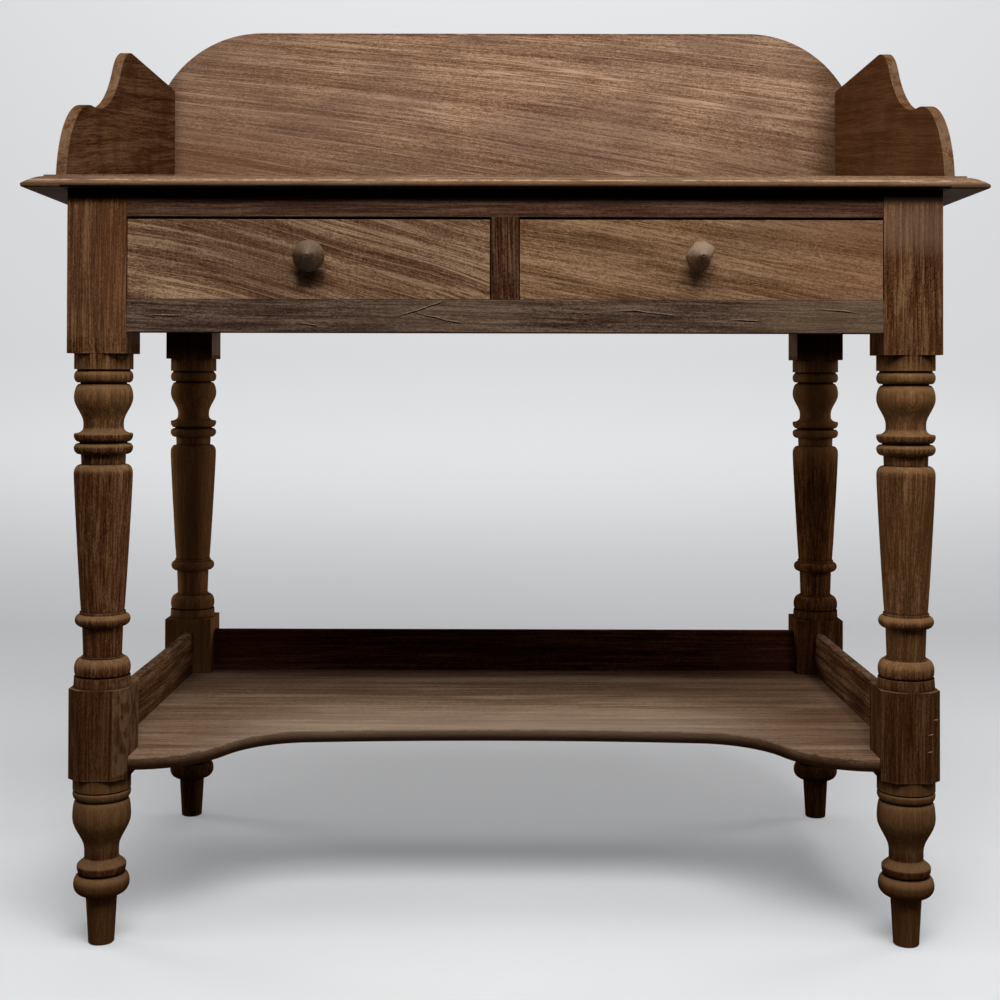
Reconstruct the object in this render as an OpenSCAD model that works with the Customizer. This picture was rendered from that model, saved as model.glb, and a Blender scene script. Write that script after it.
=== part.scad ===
// Victorian washstand: a moulded top with a gallery, two drawers, turned legs and a pot shelf.
// Millimetres, +Z up, front towards -Y. The origin is on the floor, under the middle of
// the whole, knobs included.

/* [Top board] */
// Width of the top board, end to end
top_w = 914; // [860:2:980]
// Depth of the top board, front to back
top_d = 508; // [480:2:560]
// Thickness of the top board
top_t = 14; // [12:1:20]
// Height of the top board's upper face above the floor
stand_h = 736; // [710:1:790]
// How far the top board stands out past the legs at the front
front_over = 10; // [5:1:25]
// How far the top board stands out past the legs at each end
end_over = 42; // [38:1:55]
// How far the top board stands out past the back legs
rear_over = 22; // [18:1:35]
// Width of the moulded edge, seen from above
mould_w = 17; // [12:1:22]
// Height of the blunt nose below the moulded curve
nose_h = 4; // [3:0.5:6]
// Radius of the round under the nose
nose_r = 2; // [1:0.5:2.5]
// Height of the small step between the curve and the upper face
quirk_h = 1.6; // [0.8:0.2:3]
// How far the moulded curve bulges
mould_bulge = 1.4; // [0.5:0.1:2]

/* [Gallery] */
// Thickness of the gallery's two side boards
gallery_side_t = 10; // [9:0.5:14]
// Thickness of the gallery's back board
gallery_back_t = 12; // [10:0.5:16]
// Height of the side boards where they meet the back board
gallery_side_h = 171; // [160:1:180]
// Height of the back board
gallery_back_h = 245; // [225:1:280]
// Flat strip between the moulded edge and the front of each side board
front_ledge = 5; // [2:0.5:10]
// Flat strip between the moulded edge and the outer face of each side board
end_ledge = 10; // [6:0.5:13]
// Height of the round lobe at the front of each side board
lobe_h = 83; // [74:1:90]
// Radius of that lobe
lobe_r = 95; // [90:1:104]
// Flat stretch between the lobe and the scoop behind it
lobe_flat = 1; // [1:1:20]
// Radius of the scoop that rises to the high part of the side board
scoop_r = 130; // [118:1:140]
// Radius that rounds the front of the high part
peak_r = 60; // [30:1:68]
// Radius of the back board's upper corners
back_corner_r = 141; // [120:1:160]
// How far the centre of that radius is from the end of the back board
back_corner_in = 121; // [110:1:140]

/* [Legs] */
// Width of the square blocks on the legs
block_w = 56; // [50:1:60]
// Length of the upper block, from the top board down
upper_block_h = 156.5; // [150:0.5:170]
// Height of the lower block's underside above the floor
foot_h = 160.5; // [150:0.5:180]
// Length of the lower block
lower_block_h = 85.5; // [78:0.5:95]
// Width of the chamfers on the front legs' lower blocks
block_chamfer = 11.5; // [5:0.5:14]

/* [Frame] */
// Height of the front between the leg tops: both rails and the drawers
front_h = 136; // [130:1:145]
// Height of the side and back aprons
apron_h = 120; // [112:1:128]
// Thickness of the side and back aprons
apron_t = 18; // [14:1:22]
// How far the apron faces lie behind the leg faces
apron_set = 3; // [1:0.5:6]
// Height of the rail below the drawers
low_rail_h = 31; // [24:1:36]
// Depth of the rail below the drawers, front to back
low_rail_d = 36; // [30:1:45]
// Height of the rail above the drawers
top_rail_h = 26.5; // [20:0.5:32]
// Depth of the rail above the drawers, front to back
top_rail_d = 50; // [44:1:55]
// How far the rails and drawer fronts lie behind the legs' front faces
rail_set = 1; // [0:0.5:4]
// Width of the upright between the drawers
divider_w = 27; // [20:1:36]
// Depth of that upright, front to back
divider_d = 40; // [32:1:46]
// How far a runner or kicker reaches in below or above a drawer
runner_w = 19; // [15:1:26]
// Height of the drawer runners
runner_h = 14; // [12:1:16]
// Height of the guides on the runners
guide_h = 20; // [12:1:30]
// Length of the tenons on the rails and aprons
tenon_l = 20; // [14:1:22]
// Thickness of those tenons
tenon_t = 8; // [6:0.5:10]
// Side and height of the glue blocks behind the back apron
glue_block = 18; // [12:1:24]

/* [Drawers] */
// Gap between a drawer front and the frame at each side
drawer_gap = 0.8; // [0.4:0.1:1.5]
// Gap below a drawer
drawer_rise = 0.4; // [0.3:0.1:0.8]
// Gap above a drawer
drawer_head = 2.5; // [0.4:0.1:3]
// Thickness of the drawer fronts
drawer_front_t = 18; // [16:1:22]
// Thickness of the drawer sides
drawer_side_t = 10; // [8:0.5:12]
// Thickness of the drawer backs
drawer_back_t = 9; // [7:0.5:12]
// Thickness of the drawer bottoms
drawer_bottom_t = 6; // [5:0.5:8]
// Gap between a drawer and the back apron
drawer_rear_gap = 32; // [22:1:60]
// How far the drawer sides stop below the drawer fronts
drawer_side_drop = 1; // [0.5:0.5:4]
// How far the drawer back stops below the drawer sides
drawer_back_drop = 9; // [5:1:15]
// Height of the drawer bottom's groove above the lower edge
groove_up = 8; // [7:0.5:11]
// Depth of the grooves for the drawer bottom
groove_d = 4; // [3:0.5:5]
// Wood left in front of the dovetails in a drawer front
dovetail_lap = 4; // [3:0.5:6]
// Height of the stops behind the drawer fronts
stop_h = 5; // [3:0.5:6]
// Width of each stop
stop_w = 30; // [20:1:45]

/* [Knobs] */
// Largest diameter of a knob
knob_d = 30; // [24:0.5:36]
// How far a knob stands out from the drawer front
knob_l = 28; // [22:0.5:34]
// Diameter of the knob's neck
knob_neck_d = 15; // [13:0.5:20]
// Diameter of the peg that holds the knob
knob_peg_d = 9.5; // [8:0.5:11]
// Length of that peg
knob_peg_l = 13; // [9:0.5:14]
// How far the knobs sit inboard of the drawers' middles
knob_shift = 1.5; // [0:0.5:10]
// How far the knobs sit above the drawers' middles
knob_rise = 2; // [0:0.5:6]

/* [Pot shelf] */
// Thickness of the shelf
shelf_t = 12.5; // [10:0.5:15]
// Height of the shelf's rails above the shelf
tray_h = 49.5; // [40:0.5:54]
// How far the rails reach below the shelf
shelf_lip = 3; // [2:0.5:5]
// Height of the rails' lower edges above the blocks' lower ends
shelf_rail_up = 4.5; // [2:0.5:7]
// Thickness of the rails round the shelf
shelf_rail_t = 12; // [11:0.5:16]
// Depth of the grooves that hold the shelf
shelf_groove = 4; // [3:0.5:5]
// How far the shelf's front corners lie behind the legs' front faces
shelf_set = 14; // [8:1:24]
// How far the shelf's front edge is cut back at the middle
shelf_scoop = 118.5; // [100:0.5:135]
// How much of that is the shallow curve across the middle
shelf_belly = 8.5; // [4:0.5:14]
// Radius of the two curves in each half of the front edge
shelf_ogee_r = 90; // [75:1:100]

/* [Screws] */
// Diameter of the screws' shanks
screw_d = 3.4; // [2.6:0.2:4]
// Diameter of the screws' heads
screw_head_d = 7; // [5:0.5:8]
// How far the gallery's screws go into its boards
screw_bite = 20; // [12:1:30]
// How far the drawer bottoms' screws go into the drawer backs
drawer_screw_bite = 16; // [10:1:20]
// Distance from a corner to the nearest gallery screw
screw_margin = 60; // [50:5:90]

/* [Hidden] */
$fn = 48;
// Clearance of glued joints, and of screws in their holes
glue_fit = 0.1;
screw_fit = 0.1;
// Steps in each turned curve and each moulded curve
turn_steps = 7;
mould_steps = 10;
// Overlap that joins the stages of one solid
bite = 1;
// Width and depth of a screw's slot
slot_w = 1;
slot_d = 1;
// Small flats where the moulded curve starts and ends
mould_ease = 0.5;

half_w = top_w / 2;
half_b = block_w / 2;

// The knobs stand out past the top board's front edge by this much
knob_out = max(0, knob_l - front_over - rail_set);
front_y = knob_out / 2 - top_d / 2;
rear_y = front_y + top_d;

// Legs: centres, and the faces that the frame meets
leg_x = half_w - end_over - half_b;
leg_front_y = front_y + front_over + half_b;
leg_back_y = rear_y - rear_over - half_b;
inner_x = leg_x - half_b;
front_face_y = leg_front_y - half_b;
front_leg_rear_y = leg_front_y + half_b;
back_leg_front_y = leg_back_y - half_b;
under_z = stand_h - top_t;
upper_block_z = under_z - upper_block_h;
lower_block_top = foot_h + lower_block_h;
turn_r = half_b - 0.2;

// Frame: planes of the rails, aprons and drawer openings
rail_y = front_face_y + rail_set;
frame_z = under_z - front_h;
apron_z = under_z - apron_h;
open_z0 = frame_z + low_rail_h;
open_z1 = under_z - top_rail_h;
apron_in_x = leg_x + half_b - apron_set - apron_t;
apron_in_y = leg_back_y + half_b - apron_set - apron_t;
half_div = divider_w / 2;
low_rail_rear_y = rail_y + low_rail_d;
top_rail_rear_y = rail_y + top_rail_d;
divider_rear_y = rail_y + divider_d;
tenon_shoulder = 10;
divider_stub = 6;
rail_tail_l = 22;
rail_tail_w = 22;
rail_tail_flare = 4;
rail_tail_h = 16;

// Drawers: the left one, in place
drawer_x0 = -inner_x + drawer_gap;
drawer_x1 = -half_div - drawer_gap;
drawer_z0 = open_z0 + drawer_rise;
drawer_z1 = open_z1 - drawer_head;
drawer_side_z1 = drawer_z1 - drawer_side_drop;
drawer_in_y = rail_y + drawer_front_t;
drawer_end_y = apron_in_y - drawer_rear_gap;
drawer_back_y = drawer_end_y - drawer_back_t;
groove_z0 = drawer_z0 + groove_up;
groove_z1 = groove_z0 + drawer_bottom_t;
drawer_back_z1 = drawer_side_z1 - drawer_back_drop;
drawer_mid_x = (drawer_x0 + drawer_x1) / 2;
knob_x = drawer_mid_x + knob_shift;
knob_z = (drawer_z0 + drawer_z1) / 2 + knob_rise;
tail_count = 2;
pin_w = 9;
tail_slope = 2.5;
stop_gap = 0.3;
stop_in = 60;

// Shelf: planes of the tray
shelf_rail_z = foot_h + shelf_rail_up;
shelf_z0 = shelf_rail_z + shelf_lip;
shelf_z1 = shelf_z0 + shelf_t;
tray_z = shelf_z1 + tray_h;
shelf_rail_in_x = leg_x - shelf_rail_t / 2;
shelf_back_in_y = leg_back_y - shelf_rail_t / 2;
shelf_front_y = front_face_y + shelf_set;
shelf_tenon_t = shelf_rail_t / 2;
shelf_tenon_l = 16;
shelf_tenon_gap = 6;
shelf_rail_round = 4;

// Gallery: planes of its boards
gallery_x = half_w - mould_w - end_ledge;
gallery_mid_x = gallery_x - gallery_side_t / 2;
gallery_y0 = front_y + mould_w + front_ledge;
gallery_y1 = rear_y - gallery_back_t;
gallery_l = gallery_y1 - gallery_y0;

wood = "#7d5238";
wood_front = "#94683f";
wood_dark = "#5b3a26";
wood_pale = "#a98a62";
steel = "#8c8a86";

// A box between two corners, grown by g on every side
module bar(lo, hi, g = 0) {
  translate([lo[0] - g, lo[1] - g, lo[2] - g])
    cube([hi[0] - lo[0] + 2 * g, hi[1] - lo[1] + 2 * g, hi[2] - lo[2] + 2 * g]);
}

// An outline in Y and Z, drawn out along X from x0 to x1
module along_x(x0, x1) {
  translate([x0, 0, 0])
    rotate([90, 0, 90])
      linear_extrude(x1 - x0)
        children();
}

// An outline in X and Z, drawn out along Y from y0 to y1
module along_y(y0, y1) {
  translate([0, y1, 0])
    rotate([90, 0, 0])
      linear_extrude(y1 - y0)
        children();
}

// What is drawn for the left side, in its place or mirrored to the right
module on_side(side) {
  if (side == "left") children();
  else mirror([1, 0, 0]) children();
}

// A countersunk screw that points up from the underside of its head, with a slot
module screw(l) {
  head_h = (screw_head_d - screw_d) / 2;
  difference() {
    union() {
      cylinder(h = head_h, d1 = screw_head_d, d2 = screw_d);
      cylinder(h = l - screw_d, d = screw_d);
      translate([0, 0, l - screw_d]) cylinder(h = screw_d, d1 = screw_d, d2 = screw_d / 4);
    }
    translate([-screw_head_d, -slot_w / 2, -bite]) cube([2 * screw_head_d, slot_w, bite + slot_d]);
  }
}

// The hole that such a screw needs
module screw_hole(l) {
  head_h = (screw_head_d - screw_d) / 2;
  translate([0, 0, -bite]) cylinder(h = bite, d = screw_head_d + 2 * screw_fit);
  cylinder(h = head_h, d1 = screw_head_d + 2 * screw_fit, d2 = screw_d + 2 * screw_fit);
  cylinder(h = l + screw_fit, d = screw_d + 2 * screw_fit);
}

// Top board: its moulded edge as points, from the underside up to the upper face
function moulded_edge() =
  let (rise = top_t - quirk_h - nose_h)
  concat(
    [for (i = [0 : mould_steps / 2]) let (a = 90 * i / (mould_steps / 2))
      [nose_r - nose_r * sin(a), nose_r - nose_r * cos(a)]],
    [[0, nose_h - mould_ease]],
    [for (i = [0 : mould_steps]) let (u = i / mould_steps)
      [mould_ease + (mould_w - mould_ease) * u, nose_h + rise * u + 4 * mould_bulge * u * (1 - u)]],
    [[mould_w, top_t - mould_ease], [mould_w + mould_ease, top_t]]);

function reversed(list) = [for (i = [len(list) - 1 : -1 : 0]) list[i]];

// Places of the screws that rise through the top board into the gallery
function side_screw_ys() =
  [gallery_y0 + screw_margin, (gallery_y0 + gallery_y1) / 2, gallery_y1 - screw_margin];
function back_screw_xs() = [for (k = [-2 : 2]) k * (gallery_x - screw_margin) / 2];

module gallery_screw_places() {
  for (s = [-1, 1], y = side_screw_ys()) translate([s * gallery_mid_x, y, under_z]) children();
  for (x = back_screw_xs()) translate([x, rear_y - gallery_back_t / 2, under_z]) children();
}

// Screws through the gallery's back board into the ends of its sides
module back_screw_places() {
  for (s = [-1, 1], k = [0.25, 0.75])
    translate([s * gallery_mid_x, rear_y, stand_h + k * gallery_side_h])
      rotate([90, 0, 0]) children();
}

// Screws through the kickers into the top board
top_screw_sink = 8;
top_screw_l = top_rail_h - top_screw_sink + top_t / 2;
module top_screw_places() {
  for (x = [-(inner_x + apron_in_x) / 2, 0, (inner_x + apron_in_x) / 2])
    for (k = [0.25, 0.75])
      translate([x, front_leg_rear_y + k * (back_leg_front_y - front_leg_rear_y), open_z1 + top_screw_sink])
        children();
}

module top_board() {
  edge = moulded_edge();
  color(wood)
    difference() {
      intersection() {
        along_x(-half_w, half_w)
          translate([front_y, under_z])
            polygon(concat(edge, [[top_d, top_t], [top_d, 0]]));
        along_y(front_y, rear_y)
          translate([-half_w, under_z])
            polygon(concat(edge, reversed([for (p = edge) [top_w - p[0], p[1]]])));
      }
      gallery_screw_places() screw_hole(top_t + screw_bite);
      top_screw_places() screw_hole(top_screw_l);
    }
}

// Gallery side: lobe, scoop and rounded peak as circles, on a board from the front to the back board
module gallery_outline() {
  scoop_s = lobe_r + lobe_flat;
  scoop_c = lobe_h + scoop_r;
  peak_c = gallery_side_h - peak_r;
  peak_s = scoop_s + sqrt(pow(scoop_r + peak_r, 2) - pow(scoop_c - peak_c, 2));
  meet = scoop_r / (scoop_r + peak_r);
  meet_h = scoop_c + (peak_c - scoop_c) * meet;
  intersection() {
    translate([lobe_r, lobe_h - lobe_r]) circle(lobe_r, $fn = 96);
    square([lobe_r, lobe_h]);
  }
  translate([lobe_r, 0]) square([scoop_s - lobe_r, lobe_h]);
  difference() {
    translate([scoop_s, 0]) square([gallery_l - scoop_s, gallery_side_h]);
    translate([scoop_s, scoop_c]) circle(scoop_r, $fn = 96);
    difference() {
      translate([scoop_s - bite, meet_h]) square([peak_s - scoop_s + bite, gallery_side_h]);
      translate([peak_s, peak_c]) circle(peak_r, $fn = 96);
    }
  }
}

module gallery_side(side) {
  color(wood)
    on_side(side)
      difference() {
        along_x(-gallery_x, -gallery_x + gallery_side_t)
          translate([gallery_y0, stand_h]) gallery_outline();
        gallery_screw_places() screw_hole(top_t + screw_bite);
        back_screw_places() screw_hole(gallery_back_t + screw_bite);
      }
}

module gallery_back() {
  corner_x = gallery_x - back_corner_in;
  corner_z = gallery_back_h - back_corner_r;
  shoulder = corner_z + sqrt(pow(back_corner_r, 2) - pow(back_corner_in, 2));
  color(wood)
    difference() {
      along_y(gallery_y1, rear_y)
        translate([0, stand_h]) {
          translate([-gallery_x, 0]) square([2 * gallery_x, shoulder]);
          intersection() {
            translate([-gallery_x, 0]) square([2 * gallery_x, gallery_back_h]);
            union() {
              translate([-corner_x, 0]) square([2 * corner_x, gallery_back_h]);
              for (s = [-1, 1]) translate([s * corner_x, corner_z]) circle(back_corner_r, $fn = 96);
            }
          }
        }
      gallery_screw_places() screw_hole(top_t + screw_bite);
      back_screw_places() screw_hole(gallery_back_t + screw_bite);
    }
}

module gallery_screws() {
  color(steel) gallery_screw_places() screw(top_t + screw_bite);
}

module gallery_back_screws() {
  color(steel) back_screw_places() screw(gallery_back_t + screw_bite);
}

module top_screws() {
  color(steel) top_screw_places() screw(top_screw_l);
}

// Turned work: each row is a shape, its height, the radii at its upper and lower ends as shares of
// the largest radius, and for a bead how far it swells. A height of 0 takes what is left over.
upper_rows = [
  ["line", 15.0, 1.0, 1.0, 0],
  ["line", 1.2, 0.9, 0.9, 0],
  ["bead", 11.6, 0.865, 0.865, 0.135],
  ["line", 1.0, 0.785, 0.785, 0],
  ["early", 13.4, 0.8, 1.0, 0],
  ["wave", 25.0, 1.0, 0.68, 0],
  ["line", 3.6, 0.68, 0.685, 0],
  ["late", 5.8, 0.685, 0.965, 0],
  ["early", 1.8, 0.965, 1.0, 0],
  ["late", 6.4, 1.0, 0.83, 0],
  ["line", 1.4, 0.81, 0.81, 0],
  ["early", 4.4, 0.86, 1.0, 0],
  ["late", 6.2, 1.0, 0.8, 0],
  ["line", 9.8, 0.76, 0.745, 0],
  ["early", 8.4, 0.78, 0.995, 0],
  ["bead", 0, 0.995, 0.73, 0.02],
  ["line", 2.2, 0.78, 0.78, 0],
  ["bead", 11.9, 0.74, 0.72, 0.21],
  ["line", 28.5, 0.69, 0.655, 0],
  ["line", 1.6, 0.7, 0.7, 0],
  ["early", 10.2, 0.74, 0.955, 0],
  ["late", 6.0, 0.955, 0.9, 0],
  ["line", 1.2, 0.86, 0.86, 0],
  ["line", 10.1, 0.955, 0.975, 0]];
lower_rows = [
  ["line", 12.1, 0.985, 0.985, 0],
  ["line", 1.2, 0.9, 0.9, 0],
  ["early", 2.8, 0.93, 0.985, 0],
  ["late", 5.2, 0.985, 0.885, 0],
  ["line", 1.2, 0.85, 0.85, 0],
  ["early", 17.0, 0.875, 0.99, 0],
  ["wave", 31.0, 0.99, 0.585, 0],
  ["line", 7.2, 0.585, 0.585, 0],
  ["wave", 8.2, 0.585, 0.835, 0],
  ["late", 7.4, 0.835, 0.745, 0],
  ["line", 0.8, 0.72, 0.72, 0],
  ["early", 9.4, 0.77, 0.95, 0],
  ["late", 10.0, 0.95, 0.61, 0],
  ["wave", 2.6, 0.61, 0.53, 0],
  ["line", 0, 0.53, 0.44, 0],
  ["late", 1.5, 0.44, 0.38, 0]];

function total(rows, i = 0) = i == len(rows) ? 0 : rows[i][1] + total(rows, i + 1);

// Share of a row's height, and share of its change in radius, at a step u from 0 to 1
function row_drop(shape, u) =
  shape == "bead" ? (1 - cos(180 * u)) / 2 :
  shape == "early" ? 1 - cos(90 * u) :
  shape == "late" ? sin(90 * u) : u;
function row_turn(shape, u) =
  shape == "bead" ? (1 - cos(180 * u)) / 2 :
  shape == "early" ? sin(90 * u) :
  shape == "late" ? 1 - cos(90 * u) :
  shape == "wave" ? (1 - cos(180 * u)) / 2 : u;

function row_points(row, z, h) =
  let (n = row[0] == "line" ? 1 : row[0] == "bead" ? 2 * turn_steps : turn_steps)
  [for (i = [0 : n]) let (u = i / n)
    [turn_r * (row[2] + (row[3] - row[2]) * row_turn(row[0], u) + row[4] * sin(180 * u)),
     z - h * row_drop(row[0], u)]];

// Outline of turned work between two heights, without doubled points
function turning(rows, z1, z0) =
  let (
    spare = z1 - z0 - total(rows),
    points = [for (i = 0, z = z1; i < len(rows);
                   z = z - (rows[i][1] == 0 ? spare : rows[i][1]), i = i + 1)
      each row_points(rows[i], z, rows[i][1] == 0 ? spare : rows[i][1])])
  [for (i = [0 : len(points) - 1]) if (i == 0 || norm(points[i] - points[i - 1]) > 0.001) points[i]];

module turned_work(rows, z1, z0) {
  rotate_extrude($fn = 64)
    polygon(concat([[0, z1]], turning(rows, z1, z0), [[0, z0]]));
}

// A leg on its own axis; the front legs' lower blocks have their front corners taken off
module leg_blank(chamfered) {
  cut = chamfered ? block_chamfer : 0;
  translate([-half_b, -half_b, upper_block_z]) cube([block_w, block_w, upper_block_h]);
  translate([0, 0, foot_h])
    linear_extrude(lower_block_h)
      polygon(concat([[half_b, half_b], [-half_b, half_b]],
        cut > 0 ? [[-half_b, cut - half_b], [cut - half_b, -half_b],
                   [half_b - cut, -half_b], [half_b, cut - half_b]]
                : [[-half_b, -half_b], [half_b, -half_b]]));
  turned_work(upper_rows, upper_block_z, lower_block_top);
  turned_work(lower_rows, foot_h, 0);
  for (z = [upper_block_z, lower_block_top, foot_h])
    translate([0, 0, z - bite]) cylinder(h = 2 * bite, r = turn_r * 0.9);
}

// Tenons of the left side's joints, in place, running on into their own rails; g grows one
// into its mortise
apron_z0 = apron_z + tenon_shoulder;
apron_z1 = under_z - tenon_shoulder;
module side_apron_tenons(g = 0) {
  x = -apron_in_x - apron_t / 2;
  for (y = [[front_leg_rear_y - tenon_l, front_leg_rear_y + bite],
            [back_leg_front_y - bite, back_leg_front_y + tenon_l]])
    bar([x - tenon_t / 2, y[0], apron_z0], [x + tenon_t / 2, y[1], apron_z1], g);
}

module back_apron_tenon(g = 0) {
  y = apron_in_y + apron_t / 2;
  bar([-inner_x - tenon_l, y - tenon_t / 2, apron_z0], [-inner_x + bite, y + tenon_t / 2, apron_z1], g);
}

module low_rail_tenon(g = 0) {
  y = rail_y + low_rail_d / 3;
  bar([-inner_x - tenon_l, y - tenon_t / 2, frame_z + tenon_shoulder / 3],
      [-inner_x + bite, y + tenon_t / 2, open_z0 - tenon_shoulder / 3], g);
}

// The dovetail that ties the upper front rail into the top of a leg
module top_rail_tail(g = 0) {
  y = rail_y + top_rail_d / 2;
  w = rail_tail_w / 2 + g;
  translate([-inner_x, y, under_z - rail_tail_h - g])
    linear_extrude(rail_tail_h + g)
      polygon([[bite, -w], [bite, w], [0, w], [-rail_tail_l - g, w + rail_tail_flare],
               [-rail_tail_l - g, -w - rail_tail_flare], [0, -w]]);
}

module shelf_rail_tenons(g = 0) {
  z0 = shelf_z1 + shelf_tenon_gap;
  z1 = tray_z - shelf_tenon_gap;
  for (y = [[front_leg_rear_y - shelf_tenon_l, front_leg_rear_y + bite],
            [back_leg_front_y - bite, back_leg_front_y + shelf_tenon_l]])
    bar([-leg_x - shelf_tenon_t / 2, y[0], z0], [-leg_x + shelf_tenon_t / 2, y[1], z1], g);
}

module shelf_back_tenon(g = 0) {
  bar([-inner_x - shelf_tenon_l, leg_back_y - shelf_tenon_t / 2, shelf_z1 + shelf_tenon_gap],
      [-inner_x + bite, leg_back_y + shelf_tenon_t / 2, tray_z - shelf_tenon_gap], g);
}

module leg_front(side) {
  color(wood)
    on_side(side)
      difference() {
        translate([-leg_x, leg_front_y, 0]) leg_blank(true);
        side_apron_tenons(glue_fit);
        low_rail_tenon(glue_fit);
        top_rail_tail(glue_fit);
        shelf_rail_tenons(glue_fit);
      }
}

module leg_back(side) {
  color(wood)
    on_side(side)
      difference() {
        translate([-leg_x, leg_back_y, 0]) leg_blank(false);
        side_apron_tenons(glue_fit);
        back_apron_tenon(glue_fit);
        shelf_rail_tenons(glue_fit);
        shelf_back_tenon(glue_fit);
      }
}

// Front rails and the upright between the drawers
module divider_stubs(g = 0) {
  y = rail_y + divider_d / 2;
  for (z = [open_z0, open_z1])
    bar([-half_div / 2, y - divider_d / 4, z - divider_stub],
        [half_div / 2, y + divider_d / 4, z + divider_stub], g);
}

module front_top_rail() {
  color(wood)
    difference() {
      union() {
        bar([-inner_x, rail_y, open_z1], [inner_x, top_rail_rear_y, under_z]);
        for (side = ["left", "right"]) on_side(side) top_rail_tail();
      }
      divider_stubs(glue_fit);
    }
}

module front_bottom_rail() {
  color(wood_dark)
    difference() {
      union() {
        bar([-inner_x, rail_y, frame_z], [inner_x, low_rail_rear_y, open_z0]);
        for (side = ["left", "right"]) on_side(side) low_rail_tenon();
      }
      divider_stubs(glue_fit);
    }
}

module drawer_divider() {
  color(wood) {
    bar([-half_div, rail_y, open_z0], [half_div, divider_rear_y, open_z1]);
    divider_stubs();
  }
}

// Aprons at the sides and the back
module apron_side(side) {
  color(wood)
    on_side(side) {
      bar([-apron_in_x - apron_t, front_leg_rear_y, apron_z], [-apron_in_x, back_leg_front_y, under_z]);
      side_apron_tenons();
    }
}

module apron_back() {
  color(wood_pale) {
    bar([-inner_x, apron_in_y, apron_z], [inner_x, apron_in_y + apron_t, under_z]);
    for (side = ["left", "right"]) on_side(side) back_apron_tenon();
  }
}

// A runner or kicker at the side: narrow past the legs, and out to the apron between them
module side_bearer(y0, z0, z1) {
  bar([-inner_x, y0, z0], [-inner_x + runner_w, apron_in_y, z1]);
  bar([-apron_in_x, front_leg_rear_y, z0], [-inner_x + bite, back_leg_front_y, z1]);
}

module centre_bearer(y0, z0, z1) {
  bar([-half_div - runner_w, y0, z0], [half_div + runner_w, apron_in_y, z1]);
}

module runner_side(side) {
  color(wood_pale) on_side(side) side_bearer(low_rail_rear_y, open_z0 - runner_h, open_z0);
}

module runner_centre() {
  color(wood_pale) centre_bearer(low_rail_rear_y, open_z0 - runner_h, open_z0);
}

module guide_side(side) {
  color(wood_pale)
    on_side(side)
      bar([-apron_in_x, front_leg_rear_y, open_z0], [-inner_x, back_leg_front_y, open_z0 + guide_h]);
}

module guide_centre() {
  color(wood_pale)
    bar([-half_div, divider_rear_y, open_z0], [half_div, apron_in_y, open_z0 + guide_h]);
}

module kicker_side(side) {
  color(wood_pale)
    on_side(side)
      difference() {
        side_bearer(top_rail_rear_y, open_z1, under_z);
        top_screw_places() kicker_screw_hole();
      }
}

module kicker_centre() {
  color(wood_pale)
    difference() {
      centre_bearer(top_rail_rear_y, open_z1, under_z);
      top_screw_places() kicker_screw_hole();
    }
}

// The sunk hole of a screw in a kicker, open downwards
module kicker_screw_hole() {
  screw_hole(top_screw_l);
  translate([0, 0, -top_screw_sink - bite])
    cylinder(h = top_screw_sink + bite, d = screw_head_d + 2 * screw_fit);
}

// Two stops behind each drawer front, on the lower rail
module drawer_stops() {
  color(wood_pale)
    for (side = ["left", "right"])
      on_side(side)
        for (x = [drawer_x0 + stop_in, drawer_x1 - stop_in])
          bar([x - stop_w / 2, drawer_in_y + stop_gap, open_z0],
              [x + stop_w / 2, low_rail_rear_y, open_z0 + stop_h]);
}

// Glue blocks in the corner between the back apron and the top board
module glue_blocks() {
  mid = (inner_x + half_div) / 2;
  b = glue_block;
  color(wood_pale)
    for (x = [-mid - 2 * b, -mid + 2 * b, mid - 2 * b, mid + 2 * b])
      along_x(x - b, x + b)
        translate([apron_in_y, under_z])
          polygon([[0, 0], [-b, 0], [-b, -b / 4], [-b / 4, -b], [0, -b]]);
}

// Pot shelf: an ogee in each half of the front edge and a shallow curve between them
module shelf_outline() {
  tip_x = inner_x - glue_fit;
  convex_y = shelf_front_y + shelf_ogee_r;
  concave_y = shelf_front_y + shelf_scoop - shelf_belly - shelf_ogee_r;
  concave_x = tip_x - sqrt(pow(2 * shelf_ogee_r, 2) - pow(convex_y - concave_y, 2));
  meet_y = (convex_y + concave_y) / 2;
  fall = shelf_ogee_r + shelf_belly;
  belly_r = (pow(concave_x, 2) + pow(fall, 2) - pow(shelf_ogee_r, 2)) / (2 * shelf_belly);
  groove_x = shelf_rail_in_x + shelf_groove - glue_fit;
  groove_y = shelf_back_in_y + shelf_groove - glue_fit;
  difference() {
    union() {
      translate([-tip_x, shelf_front_y]) square([2 * tip_x, groove_y - shelf_front_y]);
      translate([-groove_x, front_leg_rear_y + glue_fit])
        square([2 * groove_x, back_leg_front_y - front_leg_rear_y - 2 * glue_fit]);
    }
    for (s = [-1, 1]) translate([s * concave_x, concave_y]) circle(shelf_ogee_r, $fn = 128);
    intersection() {
      translate([0, shelf_front_y + shelf_scoop - belly_r]) circle(belly_r, $fn = 720);
      translate([-concave_x, shelf_front_y - bite]) square([2 * concave_x, shelf_scoop + 2 * bite]);
    }
    difference() {
      translate([-tip_x - bite, shelf_front_y - bite])
        square([2 * (tip_x + bite), meet_y - shelf_front_y + bite]);
      for (s = [-1, 1]) translate([s * tip_x, convex_y]) circle(shelf_ogee_r, $fn = 128);
      for (s = [-1, 1])
        translate([s * tip_x - (s > 0 ? 0 : 2 * shelf_ogee_r), shelf_front_y])
          square([2 * shelf_ogee_r, meet_y]);
    }
  }
}

module shelf() {
  color(wood)
    translate([0, 0, shelf_z0 + glue_fit])
      linear_extrude(shelf_t - 2 * glue_fit)
        shelf_outline();
}

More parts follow.
